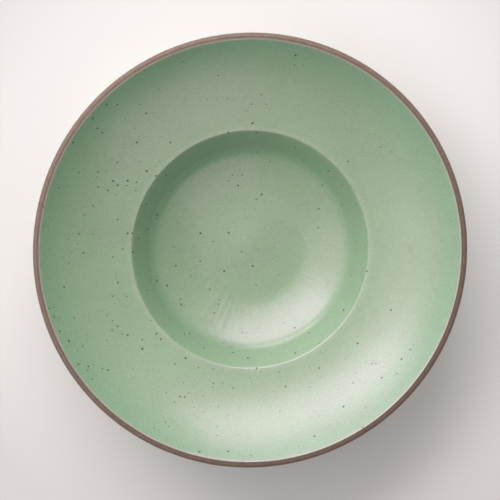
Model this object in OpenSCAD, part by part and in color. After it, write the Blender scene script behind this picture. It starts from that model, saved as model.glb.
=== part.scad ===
// Wide-rimmed pasta bowl in glazed stoneware, turned about +Z, standing on z = 0.
// The clay body carries its coats: a glaze on the face, one on the back, one in the foot's recess,
// and a brown band round the rim. All of them follow one outline, so they share their faces.

/* [Face] */
// Outer radius of the bowl at the rim
rim_r = 140; // [125:1:160]
// Radius at which the well turns over into the flange
well_r = 77; // [67:0.5:87]
// Rounding of the lip between the well and the flange
lip_r = 1.5; // [1:0.25:3]
// Rounding between the well's haunch and its wall
corner_r = 19; // [14:0.5:24]
// Curve of the haunch, which lies between the knee and the corner
haunch_r = 118; // [100:1:136]
// Rounding of the knee, which lies between the well's flat floor and the haunch
knee_r = 29; // [21:1:37]
// Radius of the low dome in the middle of the floor
dome_reach = 10; // [6:0.5:14]
// Straight length of the well's wall, from the corner to the lip
wall_run = 15; // [10:0.5:20]

/* [Slopes in degrees] */
// Slope of the low dome, down and outwards, where the floor begins
dome_slope = 7; // [4:0.5:10]
// Slope of the well's floor where the knee begins
floor_slope = 0.5; // [0:0.25:2]
// Slope of the haunch where the knee ends
haunch_in_slope = 14.5; // [12:0.5:17]
// Slope of the haunch where the corner begins
haunch_out_slope = 26; // [23:0.5:30]
// Slope of the well's wall
wall_slope = 53; // [42:1:64]
// Slope of the flange beside the lip
flange_in_slope = 9; // [5:1:14]
// Slope of the flange at the rim
flange_out_slope = 36; // [24:1:46]

/* [Clay] */
// Thickness of the clay, which is also the thickness of the rim's full round
clay_t = 5.5; // [4.5:0.25:8]
// Rounding of the underside beneath the lip
shoulder_r = 8; // [5:0.5:12]

/* [Foot ring] */
// Distance from the start of the corner, underneath, in to the foot ring's outer edge at the table
foot_inset = 9; // [6:0.1:11]
// Width of the foot ring at the table
foot_w = 5; // [4:0.25:8]
// Lean of the foot ring's sides, in degrees
foot_draft = 10; // [4:1:16]
// Rounding between the foot ring and the underside
foot_fillet = 3; // [1.5:0.25:4]
// Rounding of the two edges that meet the table
foot_edge_r = 1; // [0.5:0.1:1.5]
// Clearance between the table and the clay at the centre of the recess
foot_clear = 6.5; // [5:0.25:8.5]

/* [Coats] */
// Thickness of the glaze
glaze_t = 0.4; // [0.2:0.05:0.6]
// Thickness of the brown band on the rim
band_t = 0.12; // [0.08:0.02:0.18]
// Part of the rim's half turn that the face's glaze covers before the band, in degrees
glazed_in_turn = 30; // [16:1:36]
// Part of the rim's half turn that the back's glaze covers after the band, in degrees
glazed_out_turn = 21; // [16:1:45]
// Height of bare clay left on each side of the foot ring
foot_bare = 2; // [1:0.25:3]

/* [Hidden] */
// Sides of a full turn in a preview; the solids are true surfaces of revolution
turn_sides = 240;
// Largest distance between an arc and its chords
chord_gap = 0.01;

// A point of the outline is [radius, height, heading]. The outline runs from the axis over the face,
// round the rim and back underneath, with the clay on its right. A heading is in degrees.

// Number of chords for an arc
function chords(r, turn) = max(2, ceil(abs(turn) / (2 * acos(1 - chord_gap / abs(r)))));

// Arc about c from heading h0 to h1, left-handed where r is positive; skip drops its first points
function bend(c, r, h0, h1, skip = 0) =
    let (n = chords(r, h1 - h0))
    [for (i = [skip:n]) let (h = h0 + (h1 - h0) * i / n) [c.x + r * sin(h), c.y - r * cos(h), h]];

// First place on the line from p along the heading h that lies at the distance d from c
function meet(c, d, p, h) =
    let (way = [cos(h), sin(h)], q = p - c, b = q * way)
    p + way * (-b - sqrt(b * b - q * q + d * d));

// Slope at which a circle about c is touched from outside by a smaller one about p
function touch_slope(c, p) = atan2(p.x - c.x, c.y - p.y);

// Place a distance t outside the outline, square to it
function outside(p, t) = [p.x - t * sin(p[2]), p.y + t * cos(p[2])];
function coat_top(line, t) = [for (p = line) outside(p, t)];
function places(line) = [for (p = line) [p.x, p.y]];
function reversed(list) = [for (i = [len(list) - 1:-1:0]) list[i]];

// Number of chords in the rounded end of a glaze
roll_steps = 6;
// Rounded end of a glaze, from its full thickness over a down to the thickness t over b
function roll(a, b, t) =
    let (c = outside(a, t), up = outside(a, glaze_t) - c, along = outside(b, t) - c)
    [for (i = [1:roll_steps]) let (turn = 90 * i / roll_steps) c + up * cos(turn) + along * sin(turn)];

// Rim: a full round of the clay's thickness, under the band
edge_r = clay_t / 2;
edge_x = rim_r - band_t - edge_r;

// Lip between the well and the flange
lip_x = well_r + lip_r * sin((wall_slope + flange_in_slope) / 2);

// Well: wall, corner, haunch, knee, floor and dome, each tangent to the next
corner_x = lip_x - (lip_r + corner_r) * sin(wall_slope) - wall_run * cos(wall_slope);
haunch_x = corner_x - (haunch_r - corner_r) * sin(haunch_out_slope);
knee_x = haunch_x + (haunch_r - knee_r) * sin(haunch_in_slope);
knee_from = knee_x + knee_r * sin(floor_slope);
floor_r = (knee_from - dome_reach) / (sin(floor_slope) + sin(dome_slope));
floor_x = dome_reach + floor_r * sin(dome_slope);
dome_r = dome_reach / sin(dome_slope);
dome_c = [0, foot_clear + clay_t - dome_r];
floor_c = [floor_x, dome_c.y + (dome_r + floor_r) * cos(dome_slope)];
knee_c = [knee_x, floor_c.y - (floor_r - knee_r) * cos(floor_slope)];
haunch_c = [haunch_x, knee_c.y + (haunch_r - knee_r) * cos(haunch_in_slope)];
corner_c = [corner_x, haunch_c.y - (haunch_r - corner_r) * cos(haunch_out_slope)];
lip_c = [lip_x, corner_c.y - (corner_r + lip_r) * cos(wall_slope) + wall_run * sin(wall_slope)];

// Flange: one arc from the lip to the rim
flange_run = edge_x - edge_r * sin(flange_out_slope) - lip_x + lip_r * sin(flange_in_slope);
flange_r = flange_run / (sin(flange_out_slope) - sin(flange_in_slope));
flange_c = lip_c + (flange_r + lip_r) * [-sin(flange_in_slope), cos(flange_in_slope)];
edge_c = flange_c + (flange_r + edge_r) * [sin(flange_out_slope), -cos(flange_out_slope)];

// Shoulder under the lip, which touches the backs of the flange and of the wall
shoulder_from = corner_c + (corner_r + clay_t + shoulder_r) * [sin(wall_slope), -cos(wall_slope)];
shoulder_c = meet(flange_c, flange_r + clay_t + shoulder_r, shoulder_from, wall_slope);
shoulder_slope = touch_slope(flange_c, shoulder_c);

// Foot ring, under the haunch: two leaning sides with a fillet above each
under_r = haunch_r + clay_t;
foot_r = haunch_x + under_r * sin(haunch_out_slope) - foot_inset;
foot_out = [foot_r, 0];
foot_in = [foot_r - foot_w, 0];
lean = [cos(foot_draft), -sin(foot_draft)];
lean_in = [-lean.x, lean.y];
out_fillet_c = meet(haunch_c, under_r + foot_fillet, foot_out + foot_fillet * lean, 90 - foot_draft);
in_fillet_c = meet(haunch_c, under_r + foot_fillet, foot_in + foot_fillet * lean_in, 90 + foot_draft);
out_fillet_slope = touch_slope(haunch_c, out_fillet_c);
in_fillet_slope = touch_slope(haunch_c, in_fillet_c);
// Headings of the two sides, going down the outer one and up the inner one
down = -90 - foot_draft;
up = foot_draft - 270;
edge_shift = foot_edge_r * (cos(foot_draft) - tan(foot_draft) * (1 - sin(foot_draft)));
out_edge_c = [foot_r - edge_shift, foot_edge_r];
in_edge_c = [foot_r - foot_w + edge_shift, foot_edge_r];

// Places on the foot ring's sides at a height
function on_outer_side(z) = [foot_r + z * tan(foot_draft), z, down];
function on_inner_side(z) = [foot_r - foot_w - z * tan(foot_draft), z, up];

// The band lies between these headings; a glaze rolls down beside it over its own thickness
band_in_slope = flange_out_slope - glazed_in_turn;
band_out_slope = flange_out_slope - 180 + glazed_out_turn;
roll_turn = atan(glaze_t / edge_r);

// The five stretches of the outline, one for each coat and one for the bare foot
face_line = concat(
    bend(dome_c, -dome_r, 0, -dome_slope),
    bend(floor_c, floor_r, -dome_slope, floor_slope, 1),
    bend(knee_c, knee_r, floor_slope, haunch_in_slope, 1),
    bend(haunch_c, haunch_r, haunch_in_slope, haunch_out_slope, 1),
    bend(corner_c, corner_r, haunch_out_slope, wall_slope, 1),
    bend(lip_c, -lip_r, wall_slope, flange_in_slope),
    bend(flange_c, flange_r, flange_in_slope, flange_out_slope, 1),
    bend(edge_c, -edge_r, flange_out_slope, band_in_slope + roll_turn, 1)
);
band_line = bend(edge_c, -edge_r, band_in_slope, band_out_slope);
back_line = concat(
    bend(edge_c, -edge_r, band_out_slope - roll_turn, flange_out_slope - 180),
    bend(flange_c, -flange_r - clay_t, flange_out_slope - 180, shoulder_slope - 180, 1),
    bend(shoulder_c, shoulder_r, shoulder_slope - 180, wall_slope - 180, 1),
    bend(corner_c, -corner_r - clay_t, wall_slope - 180, haunch_out_slope - 180),
    bend(haunch_c, -under_r, haunch_out_slope - 180, out_fillet_slope - 180, 1),
    bend(out_fillet_c, foot_fillet, out_fillet_slope - 180, down, 1),
    [on_outer_side(foot_bare + glaze_t)]
);
foot_line = concat(
    [on_outer_side(foot_bare)],
    bend(out_edge_c, -foot_edge_r, down, -180),
    bend(in_edge_c, -foot_edge_r, -180, up),
    [on_inner_side(foot_bare)]
);
recess_line = concat(
    [on_inner_side(foot_bare + glaze_t)],
    bend(in_fillet_c, foot_fillet, up, in_fillet_slope - 180),
    bend(haunch_c, -under_r, in_fillet_slope - 180, haunch_in_slope - 180, 1),
    bend(knee_c, -knee_r - clay_t, haunch_in_slope - 180, floor_slope - 180, 1),
    bend(floor_c, -floor_r - clay_t, floor_slope - 180, -dome_slope - 180, 1),
    bend(dome_c, dome_r - clay_t, -dome_slope - 180, -180, 1)
);

function first(line) = line[0];
function last(line) = line[len(line) - 1];

module turned(outline) {
    rotate_extrude($fn = turn_sides) polygon(outline);
}

// Fired stoneware: well, flange, round rim and foot ring in one piece
module clay_body() {
    color([0.42, 0.33, 0.28])
        turned(places(concat(face_line, band_line, back_line, foot_line, recess_line)));
}

// Green glaze of the eating face, from the centre to the brown band
module face_glaze() {
    edge = first(band_line);
    color([0.60, 0.70, 0.57])
        turned(concat(
            places(face_line),
            places([edge]),
            reversed(roll(last(face_line), edge, band_t)),
            reversed(coat_top(face_line, glaze_t))
        ));
}

// Green glaze of the outside, from the brown band to the bare foot
module back_glaze() {
    edge = last(band_line);
    bare = first(foot_line);
    color([0.56, 0.66, 0.53])
        turned(concat(
            places([edge]),
            places(back_line),
            places([bare]),
            reversed(roll(last(back_line), bare, 0)),
            reversed(coat_top(back_line, glaze_t)),
            roll(first(back_line), edge, band_t)
        ));
}

// Green glaze inside the foot ring
module foot_recess_glaze() {
    bare = last(foot_line);
    color([0.56, 0.66, 0.53])
        turned(concat(
            places([bare]),
            places(recess_line),
            reversed(coat_top(recess_line, glaze_t)),
            roll(first(recess_line), bare, 0)
        ));
}

// Brown band round the rim, between the two glazes
module rim_band() {
    color([0.45, 0.35, 0.30])
        turned(concat(places(band_line), reversed(coat_top(band_line, band_t))));
}

clay_body();
face_glaze();
back_glaze();
foot_recess_glaze();
rim_band();
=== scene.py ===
"""A wide-rimmed stoneware pasta bowl: its looks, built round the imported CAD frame.

Everything is in metres and in the frame of the CAD: +Z runs up the axis of turning, and z = 0 is
the table under the foot ring. The clay and each coat are drawn as a profile and turned, as on a
wheel, and their finishes are procedural materials on Object coordinates.
"""

from __future__ import annotations

import logging
import math
from collections.abc import Callable
from dataclasses import dataclass, replace
from enum import Enum
from functools import cached_property
from typing import Any, NamedTuple

import bpy
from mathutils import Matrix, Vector, noise

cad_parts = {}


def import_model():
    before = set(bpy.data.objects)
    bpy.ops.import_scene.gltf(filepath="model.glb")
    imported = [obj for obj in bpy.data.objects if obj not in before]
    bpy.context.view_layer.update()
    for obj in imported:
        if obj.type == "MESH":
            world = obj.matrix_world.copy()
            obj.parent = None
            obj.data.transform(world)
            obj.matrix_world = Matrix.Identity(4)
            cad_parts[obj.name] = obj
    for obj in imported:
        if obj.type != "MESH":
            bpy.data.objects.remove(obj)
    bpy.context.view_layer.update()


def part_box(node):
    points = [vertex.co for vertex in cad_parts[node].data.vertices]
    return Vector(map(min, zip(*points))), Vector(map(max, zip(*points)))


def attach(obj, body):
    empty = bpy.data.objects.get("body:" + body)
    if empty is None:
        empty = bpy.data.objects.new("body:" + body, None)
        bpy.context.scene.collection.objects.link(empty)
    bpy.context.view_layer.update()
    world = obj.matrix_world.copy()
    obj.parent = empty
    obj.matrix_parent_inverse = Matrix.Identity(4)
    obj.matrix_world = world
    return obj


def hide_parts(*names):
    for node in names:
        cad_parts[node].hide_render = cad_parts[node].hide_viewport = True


log = logging.getLogger("pasta_bowl")

BODY = "root"
ROLL_STEPS = 8
SMOOTH_UNDER = 40.0

Colour = tuple[float, float, float]
Place = tuple[float, float]
Triple = tuple[float, float, float]
Span = tuple[float, float]


# Outline


class Spot(NamedTuple):
    """A point of an outline: its radius, its height and the heading there in degrees."""

    r: float
    z: float
    heading: float


class Closeness(Enum):
    """How closely chords follow an arc: the widest gap and the longest chord."""

    SHOWN = (4e-6, 2.5e-3)
    HIDDEN = (3e-5, 8e-3)


Line = Callable[[Closeness], list[Spot]]


def sine(degrees: float) -> float:
    """Gives the sine of an angle in degrees."""
    return math.sin(math.radians(degrees))


def cosine(degrees: float) -> float:
    """Gives the cosine of an angle in degrees."""
    return math.cos(math.radians(degrees))


def on_arc(centre: Place, radius: float, heading: float) -> Place:
    """Gives the place where an arc has a heading.

    Args:
        centre: Centre of the arc.
        radius: Its radius, positive where it bends to the left.
        heading: The heading, in degrees.

    Returns:
        The place.
    """
    return (centre[0] + radius * sine(heading), centre[1] - radius * cosine(heading))


@dataclass(frozen=True)
class Arc:
    """An arc of an outline: its centre, its radius and the headings at its ends, in degrees.

    The radius is positive where the arc bends to the left.
    """

    centre: Place
    radius: float
    start: float
    end: float

    def at(self, heading: float) -> Spot:
        """Gives the point of the arc's circle at a heading."""
        return Spot(*on_arc(self.centre, self.radius, heading), heading)

    def then(self, radius: float, end: float, run: float = 0.0) -> Arc:
        """Goes on with an arc that touches this one, or the straight run that leads to it.

        Args:
            radius: Radius of the next arc.
            end: Heading at its end.
            run: Length of the straight run.

        Returns:
            The next arc.
        """
        r, z = on_arc(self.centre, self.radius - radius, self.end)
        centre = (r + run * cosine(self.end), z + run * sine(self.end))
        return Arc(centre, radius, self.end, end)

    def under(self, thickness: float) -> Arc:
        """Gives the arc at a distance on the right, run the other way."""
        return Arc(self.centre, -self.radius - thickness, self.end - 180, self.start - 180)

    def spots(self, close: Closeness, skip: int = 0) -> list[Spot]:
        """Follows the arc.

        Args:
            close: How closely its chords follow it.
            skip: How many of its first points are left out.

        Returns:
            The points of the arc.
        """
        gap, longest = close.value
        swept = self.end - self.start
        turn = abs(math.radians(swept))
        by_gap = turn / (2 * math.acos(1 - gap / abs(self.radius)))
        by_length = turn * abs(self.radius) / longest
        count = max(2, math.ceil(by_gap), math.ceil(by_length))
        return [self.at(self.start + swept * step / count) for step in range(skip, count + 1)]


class FaceArcs(NamedTuple):
    """The arcs of the face, from the axis to the rim."""

    dome: Arc
    floor: Arc
    knee: Arc
    haunch: Arc
    corner: Arc
    lip: Arc
    flange: Arc
    rim: Arc


def meet(centre: Place, reach: float, start: Place, heading: float) -> Place:
    """Finds where a line first comes within a distance of a centre.

    Args:
        centre: The centre.
        reach: The distance from it.
        start: A place on the line, outside that distance.
        heading: The way that the line runs, in degrees.

    Returns:
        The place on the line.
    """
    way = Vector((cosine(heading), sine(heading)))
    offset = Vector(start) - Vector(centre)
    along = offset.dot(way)
    run = -along - math.sqrt(along**2 - offset.length_squared + reach**2)
    place = Vector(start) + way * run
    return (place.x, place.y)


def touch_slope(centre: Place, place: Place) -> float:
    """Gives the slope at which a circle about centre is touched by one about place."""
    return math.degrees(math.atan2(place[0] - centre[0], centre[1] - place[1]))


def outside(spot: Spot, thickness: float) -> Place:
    """Gives the place at a distance outside the outline, square to it."""
    return on_arc((spot.r, spot.z), -thickness, spot.heading)


def raised(line: list[Spot], thickness: float = 0.0) -> list[Place]:
    """Gives a line of the outline, or the top of a coat that lies on it."""
    return [outside(spot, thickness) for spot in line]


def rolled_end(full: Spot, edge: Spot, depth: float, rest: float) -> list[Place]:
    """Rounds the end of a glaze.

    Args:
        full: Where the glaze still has its full depth.
        edge: Where it ends.
        depth: Its full depth.
        rest: The depth that is left at its edge.

    Returns:
        The places of the rounded end, from next to the top down to the edge.
    """
    corner = Vector(outside(full, rest))
    up = Vector(outside(full, depth)) - corner
    along = Vector(outside(edge, rest)) - corner
    places = []
    for step in range(1, ROLL_STEPS + 1):
        turn = 90 * step / ROLL_STEPS
        place = corner + up * cosine(turn) + along * sine(turn)
        places.append((place.x, place.y))
    return places


@dataclass(frozen=True)
class Sag:
    """How the bowl has gone out of round in the kiln: a little longer one way, shorter across."""

    azimuth: float = 52.0
    share: float = 0.0045

    def settle(self, piece: bpy.types.Object) -> None:
        """Draws a piece longer along the azimuth and shorter across it."""
        way = Vector((cosine(self.azimuth), sine(self.azimuth), 0))
        for vertex in piece.data.vertices:
            level = Vector((vertex.co.x, vertex.co.y, 0))
            along = way * level.dot(way)
            vertex.co += (2 * along - level) * self.share

    def radius(self, x: Term, y: Term) -> Term:
        """Gives the radius that a place had before the bowl went out of round."""
        right, up = cosine(self.azimuth), sine(self.azimuth)
        along = (x * right + y * up) / (1 + self.share)
        across = (y * right - x * up) / (1 - self.share)
        return (along * along + across * across) ** 0.5


@dataclass(frozen=True)
class BowlOutline:
    """The bowl's outline, with the driving sizes of the CAD.

    Only the rim is a little smaller, so that the bowl stays inside the CAD's box once it has gone out
    of round. The outline runs from the axis over the face, round the rim and back underneath to the
    axis, as arcs and straight runs that touch. The clay lies on its right.
    """

    rim_r: float = 0.1397
    well_r: float = 0.077
    lip_r: float = 0.0015
    corner_r: float = 0.019
    haunch_r: float = 0.118
    knee_r: float = 0.029
    dome_reach: float = 0.010
    wall_run: float = 0.015
    dome_slope: float = 7.0
    floor_slope: float = 0.5
    haunch_in_slope: float = 14.5
    haunch_out_slope: float = 26.0
    wall_slope: float = 53.0
    flange_in_slope: float = 9.0
    flange_out_slope: float = 36.0
    clay_t: float = 0.0055
    shoulder_r: float = 0.008
    foot_inset: float = 0.009
    foot_w: float = 0.005
    foot_draft: float = 10.0
    foot_fillet: float = 0.003
    foot_edge_r: float = 0.001
    foot_clear: float = 0.0065
    glaze_t: float = 0.0004
    band_t: float = 0.00012
    glazed_in_turn: float = 30.0
    glazed_out_turn: float = 21.0
    foot_bare: float = 0.002
    sag: Sag = Sag()

    @cached_property
    def edge_r(self) -> float:
        """Radius of the clay's round rim."""
        return self.clay_t / 2

    @cached_property
    def lip_x(self) -> float:
        """Radius at which the lip's arc has its centre."""
        return self.well_r + self.lip_r * sine((self.wall_slope + self.flange_in_slope) / 2)

    @cached_property
    def corner_x(self) -> float:
        """Radius at which the corner's arc has its centre."""
        rounds = (self.lip_r + self.corner_r) * sine(self.wall_slope)
        return self.lip_x - rounds - self.wall_run * cosine(self.wall_slope)

    @cached_property
    def haunch_x(self) -> float:
        """Radius at which the haunch's arc has its centre."""
        return self.corner_x - (self.haunch_r - self.corner_r) * sine(self.haunch_out_slope)

    @cached_property
    def arcs(self) -> FaceArcs:
        """The arcs of the face, with a straight wall between the corner and the lip.

        The radii of the dome, the floor and the flange follow from the other sizes.
        """
        rise, fall = sine(self.floor_slope), sine(self.dome_slope)
        dome_r = self.dome_reach / fall
        knee_x = self.haunch_x + (self.haunch_r - self.knee_r) * sine(self.haunch_in_slope)
        floor_r = (knee_x + self.knee_r * rise - self.dome_reach) / (rise + fall)
        inner, outer = sine(self.flange_in_slope), sine(self.flange_out_slope)
        edge_x = self.rim_r - self.band_t - self.edge_r
        run = edge_x - self.edge_r * outer - self.lip_x + self.lip_r * inner
        low = self.foot_clear + self.clay_t - dome_r
        dome = Arc((0.0, low), -dome_r, 0, -self.dome_slope)
        floor = dome.then(floor_r, self.floor_slope)
        knee = floor.then(self.knee_r, self.haunch_in_slope)
        haunch = knee.then(self.haunch_r, self.haunch_out_slope)
        corner = haunch.then(self.corner_r, self.wall_slope)
        lip = corner.then(-self.lip_r, self.flange_in_slope, self.wall_run)
        flange = lip.then(run / (outer - inner), self.flange_out_slope)
        rim = flange.then(-self.edge_r, self.band_in_slope + self.roll_turn)
        return FaceArcs(dome, floor, knee, haunch, corner, lip, flange, rim)

    @cached_property
    def shoulder(self) -> Arc:
        """The arc of the shoulder, under the lip."""
        corner, flange = self.arcs.corner, self.arcs.flange
        thick = self.clay_t + self.shoulder_r
        start = on_arc(corner.centre, corner.radius + thick, self.wall_slope)
        centre = meet(flange.centre, flange.radius + thick, start, self.wall_slope)
        touch = touch_slope(flange.centre, centre) - 180
        return Arc(centre, self.shoulder_r, touch, self.wall_slope - 180)

    @cached_property
    def under_r(self) -> float:
        """Radius of the haunch's arc on the underside."""
        return self.haunch_r + self.clay_t

    @cached_property
    def foot_r(self) -> float:
        """Outer radius of the foot ring at the table."""
        return self.haunch_x + self.under_r * sine(self.haunch_out_slope) - self.foot_inset

    def foot_side(self, inner: bool) -> float:
        """Gives the heading up the foot ring's inner side, or down its outer side."""
        return self.foot_draft - 270 if inner else -90 - self.foot_draft

    def fillet(self, inner: bool) -> Arc:
        """Gives the fillet between a side of the foot ring and the underside."""
        side = -1 if inner else 1
        base = self.foot_r - self.foot_w if inner else self.foot_r
        start = on_arc((base, 0.0), self.foot_fillet, side * (90 - self.foot_draft))
        haunch, reach = self.arcs.haunch.centre, self.under_r + self.foot_fillet
        centre = meet(haunch, reach, start, 90 - side * self.foot_draft)
        ends = (touch_slope(haunch, centre) - 180, self.foot_side(inner))
        return Arc(centre, self.foot_fillet, *(reversed(ends) if inner else ends))

    def on_foot(self, height: float, inner: bool) -> Spot:
        """Gives the place on a side of the foot ring at a height."""
        lean = height * math.tan(math.radians(self.foot_draft))
        r = self.foot_r - self.foot_w - lean if inner else self.foot_r + lean
        return Spot(r, height, self.foot_side(inner))

    @cached_property
    def band_in_slope(self) -> float:
        """Heading at which the band starts on the face's side."""
        return self.flange_out_slope - self.glazed_in_turn

    @cached_property
    def band_out_slope(self) -> float:
        """Heading at which the band ends on the back's side."""
        return self.flange_out_slope - 180 + self.glazed_out_turn

    @cached_property
    def band_edge(self) -> float:
        """Radius at which the face's glaze ends and the band starts."""
        return self.arcs.rim.at(self.band_in_slope).r

    @cached_property
    def roll_turn(self) -> float:
        """Turn of the rim's round that a glaze's rolled end takes, in degrees."""
        return math.degrees(math.atan(self.glaze_t / self.edge_r))

    @cached_property
    def back_rim(self) -> Arc:
        """The rim's arc under the back glaze, from its roll to the flange."""
        start, end = self.band_out_slope - self.roll_turn, self.flange_out_slope - 180
        return replace(self.arcs.rim, start=start, end=end)

    def face_line(self, close: Closeness) -> list[Spot]:
        """Runs from the axis over the well, the lip and the flange to the face glaze's roll."""
        starts = (self.arcs.dome, self.arcs.lip)
        return [spot for arc in self.arcs for spot in arc.spots(close, arc not in starts)]

    def band_line(self, close: Closeness, over: float = 0.0) -> list[Spot]:
        """Runs round the rim under the band, and a few degrees over at each end."""
        start, end = self.band_in_slope + over, self.band_out_slope - over
        return replace(self.arcs.rim, start=start, end=end).spots(close)

    def back_line(self, close: Closeness) -> list[Spot]:
        """Runs from the back glaze's roll under the rim down to its roll over the bare foot."""
        arcs, thick, fillet = self.arcs, self.clay_t, self.fillet(False)
        return [
            *self.back_rim.spots(close),
            *replace(arcs.flange.under(thick), end=self.shoulder.start).spots(close, 1),
            *self.shoulder.spots(close, 1),
            *arcs.corner.under(thick).spots(close),
            *replace(arcs.haunch.under(thick), end=fillet.start).spots(close, 1),
            *fillet.spots(close, 1),
            self.on_foot(self.foot_bare + self.glaze_t, False),
        ]

    def foot_line(self, close: Closeness) -> list[Spot]:
        """Runs round the bare foot ring, from its outer side to its inner side."""
        radius = self.foot_edge_r
        lean = math.tan(math.radians(self.foot_draft)) * (1 - sine(self.foot_draft))
        shift = radius * (cosine(self.foot_draft) - lean)
        outer, inner = self.foot_r - shift, self.foot_r - self.foot_w + shift
        return [
            self.on_foot(self.foot_bare, False),
            *Arc((outer, radius), -radius, self.foot_side(False), -180).spots(close),
            *Arc((inner, radius), -radius, -180, self.foot_side(True)).spots(close),
            self.on_foot(self.foot_bare, True),
        ]

    def recess_line(self, close: Closeness) -> list[Spot]:
        """Runs from the axis over the recess to its glaze's roll over the bare foot."""
        arcs, thick, fillet = self.arcs, self.clay_t, self.fillet(True)
        line = [
            self.on_foot(self.foot_bare + self.glaze_t, True),
            *fillet.spots(close),
            *replace(arcs.haunch.under(thick), start=fillet.end).spots(close, 1),
            *arcs.knee.under(thick).spots(close, 1),
            *arcs.floor.under(thick).spots(close, 1),
            *arcs.dome.under(thick).spots(close, 1),
        ]
        return line[::-1]


# Modelling


@dataclass(frozen=True)
class Wheel:
    """Turns a drawn profile about +Z: one sector is spun, then doubled until the turn is full."""

    sector_steps: int = 16
    doublings: int = 5
    weld: float = 2e-6

    def turn(self, name: str, profile: list[Place], closed: bool) -> bpy.types.Object:
        """Models a solid of revolution.

        Args:
            name: Name of the piece.
            profile: Its profile, as radius and height.
            closed: Whether the profile closes on itself; otherwise both ends lie on the axis.

        Returns:
            The piece, with its normals outwards.
        """
        piece = self._draw(name, profile)
        if closed:
            self._close_ends(piece)
        bpy.ops.mesh.select_all(action="SELECT")
        middle, turn = (0, 0, 0), math.tau / 2**self.doublings
        bpy.ops.mesh.spin(steps=self.sector_steps, angle=turn, center=middle, axis=(0, 0, 1))
        for doubling in range(self.doublings):
            bpy.ops.mesh.select_all(action="SELECT")
            bpy.ops.mesh.duplicate()
            swept = turn * 2**doubling
            bpy.ops.transform.rotate(value=swept, orient_axis="Z", center_override=middle)
        bpy.ops.mesh.select_all(action="SELECT")
        bpy.ops.mesh.remove_doubles(threshold=self.weld)
        bpy.ops.mesh.normals_make_consistent(inside=False)
        bpy.ops.object.mode_set(mode="OBJECT")
        return piece

    @staticmethod
    def _draw(name: str, profile: list[Place]) -> bpy.types.Object:
        """Draws a profile by extruding one vertex along it, and stays in edit mode."""
        bpy.ops.object.select_all(action="DESELECT")
        first = profile[0]
        bpy.ops.mesh.primitive_plane_add(size=0.001, location=(first[0], 0, first[1]))
        piece = bpy.context.object
        piece.name = name
        piece.data.name = name
        bpy.ops.object.transform_apply(location=True, rotation=True, scale=True)
        bpy.ops.object.mode_set(mode="EDIT")
        bpy.ops.mesh.select_all(action="SELECT")
        bpy.ops.mesh.merge(type="CENTER")
        for here, there in zip(profile, profile[1:]):
            step = (there[0] - here[0], 0, there[1] - here[1])
            bpy.ops.mesh.extrude_vertices_move(TRANSFORM_OT_translate={"value": step})
        return piece

    @staticmethod
    def _close_ends(piece: bpy.types.Object) -> None:
        """Joins the two ends of a drawn profile with an edge."""
        bpy.ops.mesh.select_all(action="DESELECT")
        bpy.ops.object.mode_set(mode="OBJECT")
        vertices = piece.data.vertices
        vertices[0].select = True
        vertices[len(vertices) - 1].select = True
        bpy.ops.object.mode_set(mode="EDIT")
        bpy.ops.mesh.edge_face_add()


@dataclass(frozen=True)
class Wander:
    """How a brushed or dipped edge strays from a true circle: slow swings and a quick tremble."""

    reach: float
    pitch: float
    start: float
    swing: float = 1.3
    tremble: float = 0.5
    quickness: float = 3.1
    tremble_start: float = 7.3

    def at(self, r: float, azimuth: float) -> float:
        """Gives how far the edge strays at an azimuth.

        Args:
            r: Radius of the edge, which sets how many swings go round.
            azimuth: The azimuth, in radians.

        Returns:
            The distance, positive or negative.
        """
        turns = r / self.pitch
        way = Vector((math.cos(azimuth), math.sin(azimuth), 0)) * turns
        slow = noise.noise(way + Vector((0, 0, self.start)))
        quick_start = Vector((0, 0, self.start + self.tremble_start))
        quick = noise.noise(way * self.quickness + quick_start)
        return self.reach * (self.swing * slow + self.tremble * quick)


def ease(value: float, low: float, high: float) -> float:
    """Rises smoothly from 0 at low to 1 at high, which may lie below low."""
    share = min(1.0, max(0.0, (value - low) / (high - low)))
    return share * share * (3 - 2 * share)


# Shader maths


def math_node(operation: str, swapped: bool = False) -> Callable[[Term, Number], Term]:
    """Makes an operator that adds a Math node.

    Args:
        operation: The node's operation.
        swapped: Whether the term comes second.

    Returns:
        The operator.
    """

    def operator(term: Term, other: Number) -> Term:
        """Adds the node."""
        operands = {0: other, 1: term} if swapped else {0: term, 1: other}
        return term.graph.node("ShaderNodeMath", {"operation": operation}, operands)

    return operator


@dataclass(frozen=True, eq=False)
class Term:
    """A socket in shader maths; Python's operators on it add Math nodes."""

    graph: Graph
    socket: bpy.types.NodeSocket

    __add__ = __radd__ = math_node("ADD")
    __mul__ = __rmul__ = math_node("MULTIPLY")
    __sub__ = math_node("SUBTRACT")
    __rsub__ = math_node("SUBTRACT", swapped=True)
    __truediv__ = math_node("DIVIDE")
    __pow__ = math_node("POWER")
    at_least = math_node("MAXIMUM")
    above = math_node("GREATER_THAN")

    def beside(self, number: int) -> Term:
        """Gives another output of the same node."""
        return Term(self.graph, self.socket.node.outputs[number])

    def ease(self, low: Number, high: Number) -> Term:
        """Rises smoothly from 0 at low to 1 at high, which may lie below low."""
        return self.graph.node(
            "ShaderNodeMapRange",
            {"interpolation_type": "SMOOTHSTEP"},
            {"Value": self, "From Min": low, "From Max": high},
        )

    def past(self, mark: float, span: Span) -> Term:
        """Rises smoothly from 0 at the first distance past a mark to 1 at the second."""
        return self.ease(mark + span[0], mark + span[1])


Number = Term | float | int
Paint = Term | Colour


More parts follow.
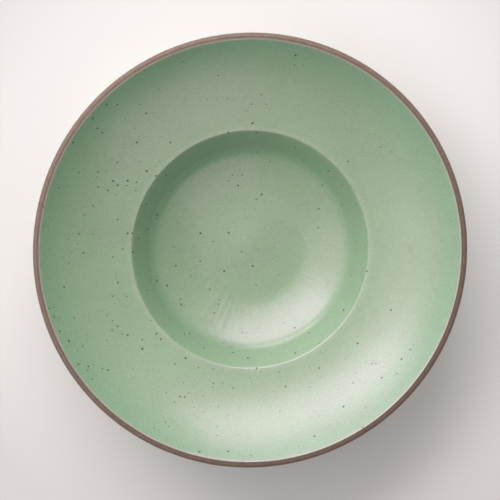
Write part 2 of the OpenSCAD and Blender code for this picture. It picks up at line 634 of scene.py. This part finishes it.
class Graph:
    """A node tree that is filled from Python expressions."""

    def __init__(self, owner: bpy.types.Material | bpy.types.World) -> None:
        """Empties the owner's node tree and keeps it."""
        owner.use_nodes = True
        self.tree = owner.node_tree
        self.tree.nodes.clear()

    def node(
        self,
        kind: str,
        settings: dict[str, Any] | None = None,
        inputs: dict[str | int, Any] | None = None,
        output: str | int = 0,
    ) -> Term:
        """Adds a node.

        Args:
            kind: The node's type.
            settings: Its settings, which are set first.
            inputs: Values or links of its sockets, by name or number.
            output: The output that is wanted, by name or number.

        Returns:
            The output.
        """
        node = self.tree.nodes.new(kind)
        for key, value in (settings or {}).items():
            setattr(node, key, value)
        for key, value in (inputs or {}).items():
            socket = node.inputs[key]
            if isinstance(value, Term):
                self.tree.links.new(value.socket, socket)
            elif isinstance(value, tuple) and socket.type == "RGBA":
                socket.default_value = (*value, 1)
            else:
                socket.default_value = value
        return Term(self, node.outputs[output] if len(node.outputs) else None)

    def blend(self, factor: Number, low: Paint, high: Paint) -> Term:
        """Mixes two colours, from low at 0 to high at 1."""
        settings = {"data_type": "RGBA"}
        return self.node("ShaderNodeMix", settings, {0: factor, 6: low, 7: high}, 2)

    def joined(self, x: Number, y: Number, z: Number) -> Term:
        """Joins three numbers into a place."""
        return self.node("ShaderNodeCombineXYZ", None, {0: x, 1: y, 2: z})

    def moved(self, where: Term, by: Triple) -> Term:
        """Shifts a place, for a pattern that differs from another's."""
        return self.node("ShaderNodeVectorMath", {"operation": "ADD"}, {0: where, 1: by})

    def relief(self, height: Term, depth: float) -> Term:
        """Turns a height between 0 and 1 into a bumped normal."""
        return self.node(
            "ShaderNodeBump", None, {"Strength": 1.0, "Distance": depth, "Height": height}
        )


@dataclass(frozen=True)
class Cloud:
    """A cloudy noise about 0.5: the size of its lumps, its finer octaves and its shift."""

    size: float
    octaves: float = 2.0
    shift: Triple | None = None

    def over(self, where: Term) -> Term:
        """Reads the noise at a place."""
        start = where.graph.moved(where, self.shift) if self.shift else where
        return where.graph.node(
            "ShaderNodeTexNoise",
            {"noise_dimensions": "3D"},
            {"Vector": start, "Scale": 1 / self.size, "Detail": self.octaves},
        )


class SpeckRoll(NamedTuple):
    """What the specks add to a glaze: where they are and how red each one is."""

    mask: Term
    redness: Term


@dataclass(frozen=True)
class Specks:
    """Iron specks that have melted out in a glaze, scattered one to a cell.

    Most are small: the chance of each is raised to the power of scarcity. Their rims are soft from
    one share of the radius to another, and the faintest has a share of the full strength.
    """

    cell: float
    smallest: float
    largest: float
    strength: float
    shift: Triple
    scarcity: float = 2.2
    rim: Span = (1.25, 0.55)
    faintest: float = 0.55

    def scatter(self, where: Term, crowd: Number) -> SpeckRoll:
        """Scatters the specks.

        Args:
            where: The place on the piece.
            crowd: How crowded they are there, from 0 to 1.

        Returns:
            Their mask, and how red each one is.
        """
        graph = where.graph
        cells = graph.node(
            "ShaderNodeTexVoronoi",
            {"voronoi_dimensions": "3D", "feature": "F1"},
            {"Vector": graph.moved(where, self.shift), "Scale": 1 / self.cell},
        )
        chance = graph.node("ShaderNodeSeparateColor", None, {0: cells.beside(1)})
        weight, redness = chance.beside(1), chance.beside(2)
        radius = self.smallest + (self.largest - self.smallest) * chance**self.scarcity
        shown = (crowd + weight).above(1)
        disc = (cells * self.cell).ease(radius * self.rim[0], radius * self.rim[1])
        depth = self.strength * (self.faintest + (1 - self.faintest) * weight)
        return SpeckRoll(disc * shown * depth, redness)


# Finishes


class Ground(NamedTuple):
    """Where a finish lies: the outline, the place on it with its parts, and its radius."""

    outline: BowlOutline
    where: Term
    x: Term
    y: Term
    z: Term
    r: Term


@dataclass(frozen=True)
class Finish:
    """A finish: a procedural material on Object coordinates."""

    name: str

    def material(self, outline: BowlOutline) -> bpy.types.Material:
        """Makes the finish's material.

        Args:
            outline: The outline that the finish follows.

        Returns:
            The material.
        """
        made = bpy.data.materials.new(self.name)
        graph = Graph(made)
        where = graph.node("ShaderNodeTexCoord", output="Object")
        x = graph.node("ShaderNodeSeparateXYZ", None, {0: where})
        y, z = x.beside(1), x.beside(2)
        ground = Ground(outline, where, x, y, z, outline.sag.radius(x, y))
        shader = graph.node("ShaderNodeBsdfPrincipled", None, self.sockets(graph, ground))
        graph.node("ShaderNodeOutputMaterial", None, {"Surface": shader})
        return made

    def sockets(self, graph: Graph, ground: Ground) -> dict[str, Any]:
        """Gives what feeds the surface's sockets.

        Args:
            graph: The material's graph.
            ground: Where the finish lies.

        Returns:
            Values and terms by the names of the sockets.
        """
        raise NotImplementedError


@dataclass(frozen=True)
class SatinGlaze(Finish):
    """Green satin glaze: it pools in the corner, with painted shade on the back-left wall, breaks
    pale on edges, thins at the band, pale with a painted highlight on its rolled end and then brown,
    and holds specks.

    Spans are distances past a mark of the outline. Shading weighs the cloud, the mottle and the
    grain, and tint is how far they lighten or darken the colour.
    """

    crowding: float = 1.0
    thrown: float = 0.0
    runs: float = 0.0

    green: Colour = (0.256, 0.372, 0.222)
    pooled: Colour = (0.184, 0.343, 0.199)
    thin: Colour = (0.43, 0.45, 0.36)
    # cream end of the glaze: thin glaze and a painted highlight on its rolled end
    thin_edge_and_glint: Colour = (0.350, 0.350, 0.265)
    scorched: Colour = (0.175, 0.128, 0.092)
    speck: Colour = (0.008, 0.068, 0.010)
    rust: Colour = (0.055, 0.066, 0.022)
    gloss: Colour = (1.0, 0.68, 0.94)

    roughness: float = 0.285
    dulling: float = 0.25
    ior: float = 1.6
    specular: float = 0.74
    haze: float = 1.0
    haze_roughness: float = 0.60
    haze_lost: float = 0.9
    shading: Triple = (0.40, 0.30, 1.25)
    tint: float = 0.22
    rust_rarity: float = 5.0
    relief: float = 0.000012

    cloud: Cloud = Cloud(0.045, 3.0)
    mottle: Cloud = Cloud(0.006, 3.0, (0.3, 0.1, 0.0))
    grain: Cloud = Cloud(0.0009, 2.0, (0.0, 0.4, 0.2))
    skin: Cloud = Cloud(0.0026)
    rings: Cloud = Cloud(0.0035, 1.0)
    ridges: Cloud = Cloud(0.0044, 0.0)
    crowds: Cloud = Cloud(0.05, 1.0, (0.7, 0.2, 0.5))
    crowd_lean: Place = (-1.9, -0.75)
    large: Specks = Specks(0.0031, 0.00022, 0.00086, 1.0, (0.11, 0.07, 0.03))
    small: Specks = Specks(0.0019, 0.00014, 0.00028, 0.9, (0.31, 0.17, 0.05))

    pool_in: Span = (0.004, 0.014)
    pool_out: Span = (0.0, -0.003)
    pool_rim: Span = (-0.030, -0.005)
    pool_shares: Span = (0.55, 0.65)
    # Painted shade: how far the corner's pooling leans to the back-left wall, away from the lamps.
    painted_shade_lean: float = 6.5
    break_in: Span = (-0.0008, 0.0)
    break_out: Span = (0.0040, 0.0006)
    thin_edge_and_glint_span: Span = (-0.0019, -0.0010)
    scorch: Span = (-0.0009, -0.0005)
    run_in: Span = (-0.028, -0.020)
    run_out: Span = (0.006, 0.0)
    run_ring: float = 0.06
    run_lean: float = -7.0

    def sockets(self, graph: Graph, ground: Ground) -> dict[str, Any]:
        """Lays the glaze, then its specks, its gloss and its relief."""
        layers = (self.cloud, self.mottle, self.grain)
        cloud, mottle, grain = (layer.over(ground.where) for layer in layers)
        scorched = ground.r.past(ground.outline.band_edge, self.scorch)
        colour = graph.blend(self._pooling(ground, cloud), self.green, self.pooled)
        colour = self._thinned(graph, ground, mottle, colour)
        colour = graph.blend(scorched, colour, self.scorched)

        by_cloud, by_mottle, by_grain = self.shading
        shade = by_cloud * (cloud - 0.5) + by_mottle * (mottle - 0.5) + by_grain * (grain - 0.5)
        low, high = 1 - self.tint, 1 + self.tint
        lift = graph.blend(0.5 + shade, (low, low, low), (high, high, high))
        multiply = {"data_type": "RGBA", "blend_type": "MULTIPLY"}
        colour = graph.node("ShaderNodeMix", multiply, {0: 1.0, 6: colour, 7: lift}, 2)

        specks = self._specks(ground)
        speck = graph.blend(specks.redness**self.rust_rarity, self.speck, self.rust)
        dull = self.dulling * specks.mask + self.dulling * scorched
        return {
            "Base Color": graph.blend(specks.mask, colour, speck),
            "Roughness": self.roughness + 0.05 * (mottle - 0.5) + dull,
            "IOR": self.ior,
            "Specular IOR Level": self.specular,
            "Specular Tint": self.gloss,
            "Coat Weight": self.haze * (1 - self.haze_lost * specks.mask.at_least(scorched)),
            "Coat Roughness": self.haze_roughness,
            "Normal": graph.relief(self._height(graph, ground, grain), self.relief),
        }

    def _height(self, graph: Graph, ground: Ground, grain: Term) -> Term:
        """Heaps up the skin, the grain, the throwing rings and the runs."""
        height = 0.55 * self.skin.over(ground.where) + 0.12 * grain
        if self.thrown:
            height = height + self.thrown * self.rings.over(graph.joined(ground.r, 0.0, ground.z))
        if self.runs:
            height = height + self.runs * self._running(graph, ground)
        return height

    def _pooling(self, ground: Ground, cloud: Term) -> Term:
        """Shows where the glaze pools: in the well's corner and towards the rim. The corner's pooling
        is made strongest on the back-left wall, which faces away from the lamps, and faintest on the
        lit
        front right: painted shade."""
        outline, r = ground.outline, ground.r
        corner = r.past(outline.corner_x, self.pool_in) * r.past(outline.well_r, self.pool_out)
        # Painted shade: darkens the pooled corner on the back-left wall, away from the lamps.
        lean = 1 + self.painted_shade_lean * (ground.y - ground.x)
        rim = r.past(outline.rim_r, self.pool_rim)
        in_corner, at_rim = self.pool_shares
        return (in_corner * corner * lean + at_rim * rim) * (0.7 + 0.6 * cloud)

    def _running(self, graph: Graph, ground: Ground) -> Term:
        """Shows the faint ridges in which the glaze has run down the haunch, most on the left."""
        x, y, r, ring = ground.x, ground.y, ground.r, self.run_ring
        ridges = self.ridges.over(graph.joined(ring * x / r, ring * y / r, 2 * ring * r))
        corner = ground.outline.corner_x
        haunch = r.past(corner, self.run_in) * r.past(corner, self.run_out)
        return (ridges - 0.5) * haunch * (0.75 + self.run_lean * x)

    def _thinned(self, graph: Graph, ground: Ground, mottle: Term, colour: Term) -> Term:
        """Pales the glaze where it breaks on the lip, and turns its last millimetre before the band
        cream:
        partly glaze worn thin over the rim, partly a painted highlight on its rolled end.
        """
        crest, edge = ground.outline.well_r, ground.outline.band_edge
        lip = ground.r.past(crest, self.break_in) * ground.r.past(crest, self.break_out)
        colour = graph.blend(lip * (0.14 + 0.22 * mottle), colour, self.thin)
        # Cream at the glaze's end: partly thin glaze, partly a painted highlight for the glint on its
        # rolled end.
        uneven = ground.r + 0.0008 * (mottle - 0.5)
        return graph.blend(uneven.past(edge, self.thin_edge_and_glint_span), colour, self.thin_edge_and_glint)

    def _specks(self, ground: Ground) -> SpeckRoll:
        """Scatters large and small specks, more crowded towards -X and a little towards -Y."""
        right, back = self.crowd_lean
        crowd = 0.5 * self.crowds.over(ground.where) - 0.02 + right * ground.x + back * ground.y
        crowd = crowd * self.crowding
        large, small = (layer.scatter(ground.where, crowd) for layer in (self.large, self.small))
        return SpeckRoll(large.mask.at_least(small.mask), large.redness)


@dataclass(frozen=True)
class IronBand(Finish):
    """Brown iron wash on the rim: dull, streaked along the turn and darker at the glaze."""

    name: str = "iron_band"
    brown: Colour = (0.262, 0.172, 0.132)
    dark: Colour = (0.134, 0.088, 0.070)
    roughness: float = 0.55
    relief: float = 0.00004
    brushed: Cloud = Cloud(0.004, 3.0)
    streaking: float = 6.0
    grain: Cloud = Cloud(0.0007)
    inner: Span = (0.0012, 0.0)

    def sockets(self, graph: Graph, ground: Ground) -> dict[str, Any]:
        """Brushes the wash on."""
        streaked = graph.joined(ground.x, ground.y, ground.z * self.streaking)
        brushed, grain = self.brushed.over(streaked), self.grain.over(ground.where)
        inner = ground.r.past(ground.outline.band_edge, self.inner)
        tone = 0.5 + 1.1 * (brushed - 0.5) + 0.6 * (grain - 0.5) - 0.5 * inner
        return {
            "Base Color": graph.blend(tone, self.dark, self.brown),
            "Roughness": self.roughness + 0.2 * (grain - 0.5),
            "Specular IOR Level": 0.4,
            "Normal": graph.relief(0.6 * grain + 0.4 * brushed, self.relief),
        }


@dataclass(frozen=True)
class BareClay(Finish):
    """Unglazed stoneware, as it shows on the foot ring: grogged, dry and finely turned."""

    name: str = "bare_clay"
    clay: Colour = (0.245, 0.160, 0.118)
    grog: Colour = (0.120, 0.078, 0.058)
    pale: Colour = (0.360, 0.262, 0.205)
    roughness: float = 0.85
    relief: float = 0.00008
    body: Cloud = Cloud(0.006, 3.0)
    grain: Cloud = Cloud(0.0006, 3.0)
    lines: Cloud = Cloud(0.0005, 1.0)
    dark_specks: Specks = Specks(0.0024, 0.00012, 0.00045, 0.8, (0.2, 0.1, 0.4))
    pale_specks: Specks = Specks(0.0031, 0.00012, 0.00040, 0.7, (0.5, 0.3, 0.1))

    def sockets(self, graph: Graph, ground: Ground) -> dict[str, Any]:
        """Turns the clay, with grog in it."""
        where = ground.where
        body, grain = self.body.over(where), self.grain.over(where)
        lines = self.lines.over(graph.joined(ground.r, 0.0, ground.z))
        colour = graph.blend(0.35 + 0.9 * (body - 0.5), self.clay, self.pale)
        colour = graph.blend(self.dark_specks.scatter(where, 0.7).mask, colour, self.grog)
        return {
            "Base Color": graph.blend(self.pale_specks.scatter(where, 0.6).mask, colour, self.pale),
            "Roughness": self.roughness + 0.15 * (grain - 0.5),
            "Specular IOR Level": 0.3,
            "Normal": graph.relief(0.6 * grain + 0.5 * lines, self.relief),
        }


@dataclass(frozen=True)
class TableTop(Finish):
    """The pale, plain table, with painted light that makes it palest round the bowl, where the bowl's
    shadow falls, and painted shade that makes it darker outwards, in front and on the left.
    """

    name: str = "table_top"
    white: Colour = (0.985, 0.930, 0.924)
    darker: Colour = (0.675, 0.633, 0.627)
    middle: float = 0.17
    middle_tone: float = 0.51
    fall: float = 7.0
    lean: Place = (-0.4, -0.8)
    cloud: Cloud = Cloud(0.08)

    def sockets(self, graph: Graph, ground: Ground) -> dict[str, Any]:
        """Paints the table, with the faintest cloud in it."""
        x, y, cloud = ground.x, ground.y, self.cloud.over(ground.where)
        # Painted light and shade: lifts the table round the bowl and darkens it outwards, in front
        # and on the left.
        away = (x * x + y * y) ** 0.5 - self.middle
        level = self.middle_tone + self.lean[1] * y + self.lean[0] * x
        tone = level + self.fall * away + 0.04 * (cloud - 0.5)
        return {
            "Base Color": graph.blend(tone, self.white, self.darker),
            "Roughness": 0.9,
            "Specular IOR Level": 0.2,
        }


# Pieces


@dataclass
class TurnedPiece:
    """A piece of the bowl: a profile that is turned, dressed and put for its CAD node."""

    outline: BowlOutline
    finish: Finish
    node: str
    slot: str
    wheel: Wheel = Wheel()
    closed: bool = True

    def profile(self) -> list[Place]:
        """Gives the profile of the piece."""
        raise NotImplementedError

    def settle(self, piece: bpy.types.Object) -> None:
        """Moves what isn't true to the turn; a plain piece stays as it was turned."""

    def build(self) -> None:
        """Turns, settles, smooths and dresses the piece, and enters it with the frame."""
        piece = self.wheel.turn(f"{self.node}_look", self.profile(), self.closed)
        self.settle(piece)
        self.outline.sag.settle(piece)
        bpy.ops.object.shade_smooth_by_angle(angle=math.radians(SMOOTH_UNDER))
        piece.data.materials.clear()
        piece.data.materials.append(self.finish.material(self.outline))
        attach(piece, BODY)
        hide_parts(self.node)
        triangles = sum(len(face.vertices) - 2 for face in piece.data.polygons)
        log.info("%s: %d triangles", piece.name, triangles)


@dataclass
class Glaze(TurnedPiece):
    """A glaze, whose rolled ends stray a little from the turn."""

    def coat(self, line: Line, end: Spot, rest: float) -> list[Place]:
        """Runs under the glaze, round its end and back over its top.

        Args:
            line: The line that it follows, loosely underneath and closely on top.
            end: Where it ends.
            rest: The depth that is left there.

        Returns:
            The places of the profile.
        """
        under, top = line(Closeness.HIDDEN), line(Closeness.SHOWN)
        roll = rolled_end(top[-1], end, self.outline.glaze_t, rest)
        if not rest:
            roll.pop()
        over = raised(top, self.outline.glaze_t)
        return [*raised([*under, end]), *reversed(roll), *reversed(over)]

    def stray_on_rim(self, piece: bpy.types.Object, wander: Wander, fixed: float, end: float) -> None:
        """Lets a glaze's edge stray along the rim's round.

        Args:
            piece: The turned glaze.
            wander: How it strays.
            fixed: Heading on the round at which nothing moves, in degrees.
            end: Heading at which the edge moves all the way.
        """
        centre_r, centre_z = self.outline.arcs.rim.centre
        reach = self.outline.edge_r + self.outline.glaze_t
        margin = 0.2 * self.outline.glaze_t
        for vertex in piece.data.vertices:
            place = vertex.co
            r = math.hypot(place.x, place.y)
            across, above = r - centre_r, place.z - centre_z
            away = math.hypot(across, above)
            if away > reach + margin:
                continue
            heading = math.degrees(math.atan2(-across, above))
            share = ease(heading, fixed, end)
            if not share:
                continue
            azimuth = math.atan2(place.y, place.x)
            stray = math.degrees(wander.at(self.outline.rim_r, azimuth) / self.outline.edge_r)
            turned = math.radians(heading + stray * share)
            new_r = centre_r - away * math.sin(turned)
            vertex.co.x, vertex.co.y = place.x * new_r / r, place.y * new_r / r
            vertex.co.z = centre_z + away * math.cos(turned)

    def stray_on_foot(self, piece: bpy.types.Object, wander: Wander) -> None:
        """Lets a glaze's lower edge stray up and down the foot ring.

        Args:
            piece: The turned glaze.
            wander: How it strays.
        """
        outline = self.outline
        low = outline.foot_bare + 2 * outline.glaze_t
        high = low + outline.foot_bare / 2
        lean = math.tan(math.radians(outline.foot_draft))
        middle = outline.foot_r - outline.foot_w / 2
        for vertex in piece.data.vertices:
            place = vertex.co
            share = ease(place.z, high, low)
            r = math.hypot(place.x, place.y)
            if not share or abs(r - middle) > outline.foot_w:
                continue
            rise = share * wander.at(outline.foot_r, math.atan2(place.y, place.x))
            side = math.copysign(lean, r - middle)
            new_r = r + rise * side
            vertex.co.x, vertex.co.y = place.x * new_r / r, place.y * new_r / r
            vertex.co.z += rise


@dataclass
class ClayBody(TurnedPiece):
    """The fired stoneware body, of which the foot ring stays bare."""

    closed: bool = False

    def profile(self) -> list[Place]:
        """Runs round the whole outline, closely only where the clay shows."""
        outline, far = self.outline, Closeness.HIDDEN
        line = [
            *outline.face_line(far),
            *outline.band_line(far),
            *outline.back_line(far),
            *outline.foot_line(Closeness.SHOWN),
            *reversed(outline.recess_line(far)),
        ]
        return raised(line)


@dataclass
class FaceGlaze(Glaze):
    """The glaze of the eating face, from the axis to the band."""

    closed: bool = False
    edge: Wander = Wander(0.00022, 0.016, 2.0)

    def profile(self) -> list[Place]:
        """Runs under the glaze from the axis to the rim and back over its top."""
        end = self.outline.arcs.rim.at(self.outline.band_in_slope)
        return self.coat(self.outline.face_line, end, self.outline.band_t)

    def settle(self, piece: bpy.types.Object) -> None:
        """Lets the edge stray over the rim."""
        rim = self.outline.arcs.rim
        self.stray_on_rim(piece, self.edge, rim.start, rim.end)


@dataclass
class BackGlaze(Glaze):
    """The glaze of the outside, from the band down to the bare foot."""

    edge: Wander = Wander(0.00025, 0.018, 11.0)
    foot_edge: Wander = Wander(0.00018, 0.014, 17.0)

    def profile(self) -> list[Place]:
        """Runs under the glaze from the rim to the foot, back over its top and round its end."""
        outline = self.outline
        rim = outline.arcs.rim.at(outline.band_out_slope)
        coat = self.coat(outline.back_line, outline.on_foot(outline.foot_bare, False), 0)
        full = outline.back_rim.at(outline.back_rim.start)
        return [rim[:2], *coat, *rolled_end(full, rim, outline.glaze_t, outline.band_t)]

    def settle(self, piece: bpy.types.Object) -> None:
        """Lets both edges stray."""
        rim = self.outline.back_rim
        self.stray_on_rim(piece, self.edge, rim.end, rim.start)
        self.stray_on_foot(piece, self.foot_edge)


@dataclass
class RecessGlaze(Glaze):
    """The glaze inside the foot ring."""

    closed: bool = False
    edge: Wander = Wander(0.00018, 0.014, 23.0)

    def profile(self) -> list[Place]:
        """Runs under the glaze from the axis to the foot and back over its top."""
        bare = self.outline.on_foot(self.outline.foot_bare, True)
        return self.coat(self.outline.recess_line, bare, 0)

    def settle(self, piece: bpy.types.Object) -> None:
        """Lets the edge stray on the foot."""
        self.stray_on_foot(piece, self.edge)


@dataclass
class RimBand(TurnedPiece):
    """The brown band round the rim, which runs on a little under both glazes."""

    tuck: float = 8.0

    def profile(self) -> list[Place]:
        """Runs round the rim under the wash and back over it."""
        line = self.outline.band_line(Closeness.SHOWN, self.tuck)
        return [*raised(line), *reversed(raised(line, self.outline.band_t))]


# Studio


@dataclass(frozen=True)
class Panel:
    """A soft rectangular lamp that faces the bowl."""

    name: str
    azimuth: float
    zenith: float
    distance: float
    width: float
    height: float
    watts: float

    def hang(self) -> None:
        """Hangs the lamp in its place and turns it to the bowl."""
        level = sine(self.zenith)
        across, back = cosine(self.azimuth) * level, sine(self.azimuth) * level
        way = Vector((across, back, cosine(self.zenith)))
        facing = (-way).to_track_quat("-Z", "Y").to_euler()
        bpy.ops.object.light_add(type="AREA", location=way * self.distance, rotation=facing)
        lamp = bpy.context.object
        lamp.name = self.name
        lamp.data.shape = "RECTANGLE"
        lamp.data.size = self.width
        lamp.data.size_y = self.height
        lamp.data.energy = self.watts


@dataclass(frozen=True)
class Room:
    """The room's own light, which comes more from one side than from the other."""

    strength: float = 0.435
    colour: Colour = (1.0, 1.0, 1.0)
    lean: Triple = (-0.72, 0.84, 0.20)
    backdrop: Colour = (0.86, 0.845, 0.835)

    def light(self) -> None:
        """Fills the world with the room's light, and shows the camera a plain backdrop."""
        world = bpy.data.worlds.new("room")
        bpy.context.scene.world = world
        graph = Graph(world)
        way = graph.node("ShaderNodeTexCoord", output="Generated")
        side = graph.node(
            "ShaderNodeVectorMath", {"operation": "DOT_PRODUCT"}, {0: way, 1: self.lean}, "Value"
        )
        strength = (self.strength * (1 + side)).at_least(0)
        room = graph.node(
            "ShaderNodeBackground", None, {"Color": self.colour, "Strength": strength}
        )
        plain = graph.node("ShaderNodeBackground", None, {"Color": self.backdrop})
        seen = graph.node("ShaderNodeLightPath", output="Is Camera Ray")
        mixed = graph.node("ShaderNodeMixShader", None, {0: seen, 1: room, 2: plain})
        graph.node("ShaderNodeOutputWorld", None, {"Surface": mixed})


@dataclass(frozen=True)
class Overhead:
    """The camera, straight above the bowl but for a slight lean."""

    height: float = 3.0
    view_width: float = 0.3208
    offset: Place = (0.012, 0.085)
    aim: Place = (0.0, 0.0003)
    sensor: float = 36.0
    sees_to: float = 50.0

    def stand(self, rim_top: float) -> None:
        """Puts the camera up.

        Args:
            rim_top: Height of the rim, at which the view has its width.
        """
        x, y = self.offset
        lean = (-math.atan2(y, self.height), math.atan2(x, self.height), 0)
        spot = (self.aim[0] + x, self.aim[1] + y, rim_top + self.height)
        bpy.ops.object.camera_add(location=spot, rotation=lean)
        camera = bpy.context.object
        camera.name = "overhead"
        camera.data.sensor_width = self.sensor
        camera.data.lens = self.sensor * self.height / self.view_width
        camera.data.clip_end = self.sees_to
        bpy.context.scene.camera = camera


@dataclass(frozen=True)
class Studio:
    """The table, the lamps, the room's light and the camera."""

    outline: BowlOutline
    table_size: float = 12.0
    table: TableTop = TableTop()
    room: Room = Room()
    camera: Overhead = Overhead()
    lamps: tuple[Panel, ...] = (
        Panel("window", 112.0, 42.5, 2.64, 2.9, 1.12, 42.0),
        Panel("window_glow", 162.0, 38.0, 2.4, 2.2, 1.3, 7.0),
        Panel("low_window", 113.5, 75.0, 2.6, 2.4, 0.6, 21.0),
        Panel("bounce", -65.0, 34.0, 1.4, 1.0, 0.9, 2.4),
    )

    def set_up(self, rim_top: float) -> None:
        """Builds everything round the bowl.

        Args:
            rim_top: Height of the bowl's rim.
        """
        bpy.ops.object.select_all(action="DESELECT")
        bpy.ops.mesh.primitive_plane_add(size=self.table_size)
        floor = bpy.context.object
        floor.name = "table"
        floor.data.materials.append(self.table.material(self.outline))
        for lamp in self.lamps:
            lamp.hang()
        self.room.light()
        self.camera.stand(rim_top)
        bpy.context.scene.view_settings.view_transform = "Standard"
        log.info("studio: %d lamps", len(self.lamps))


@dataclass
class PastaBowl:
    """The whole bowl: the clay, its three glazes and the band."""

    outline: BowlOutline

    def pieces(self) -> list[TurnedPiece]:
        """Lists the pieces in the order in which a potter makes them."""
        outline = self.outline
        face = SatinGlaze("face_glaze", runs=19.0)
        back = SatinGlaze("back_glaze", crowding=0.8, thrown=0.9)
        recess = SatinGlaze("recess_glaze", crowding=0.7, thrown=0.6)
        return [
            ClayBody(outline, BareClay(), "clay_body", "stoneware", Wheel(16, 4)),
            RimBand(outline, IronBand(), "rim_band", "rim_band"),
            FaceGlaze(outline, face, "face_glaze", "face_glaze"),
            BackGlaze(outline, back, "back_glaze", "back_glaze"),
            RecessGlaze(outline, recess, "foot_recess_glaze", "back_glaze", Wheel(16, 4)),
        ]


def main() -> None:
    """Builds the bowl, then the studio at the height of the rim's top."""
    logging.basicConfig(level=logging.INFO, format="%(message)s")
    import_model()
    outline = BowlOutline()
    for piece in PastaBowl(outline).pieces():
        piece.build()
    rim_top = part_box("face_glaze")[1].z
    Studio(outline).set_up(rim_top)


if __name__ == "__main__":
    main()
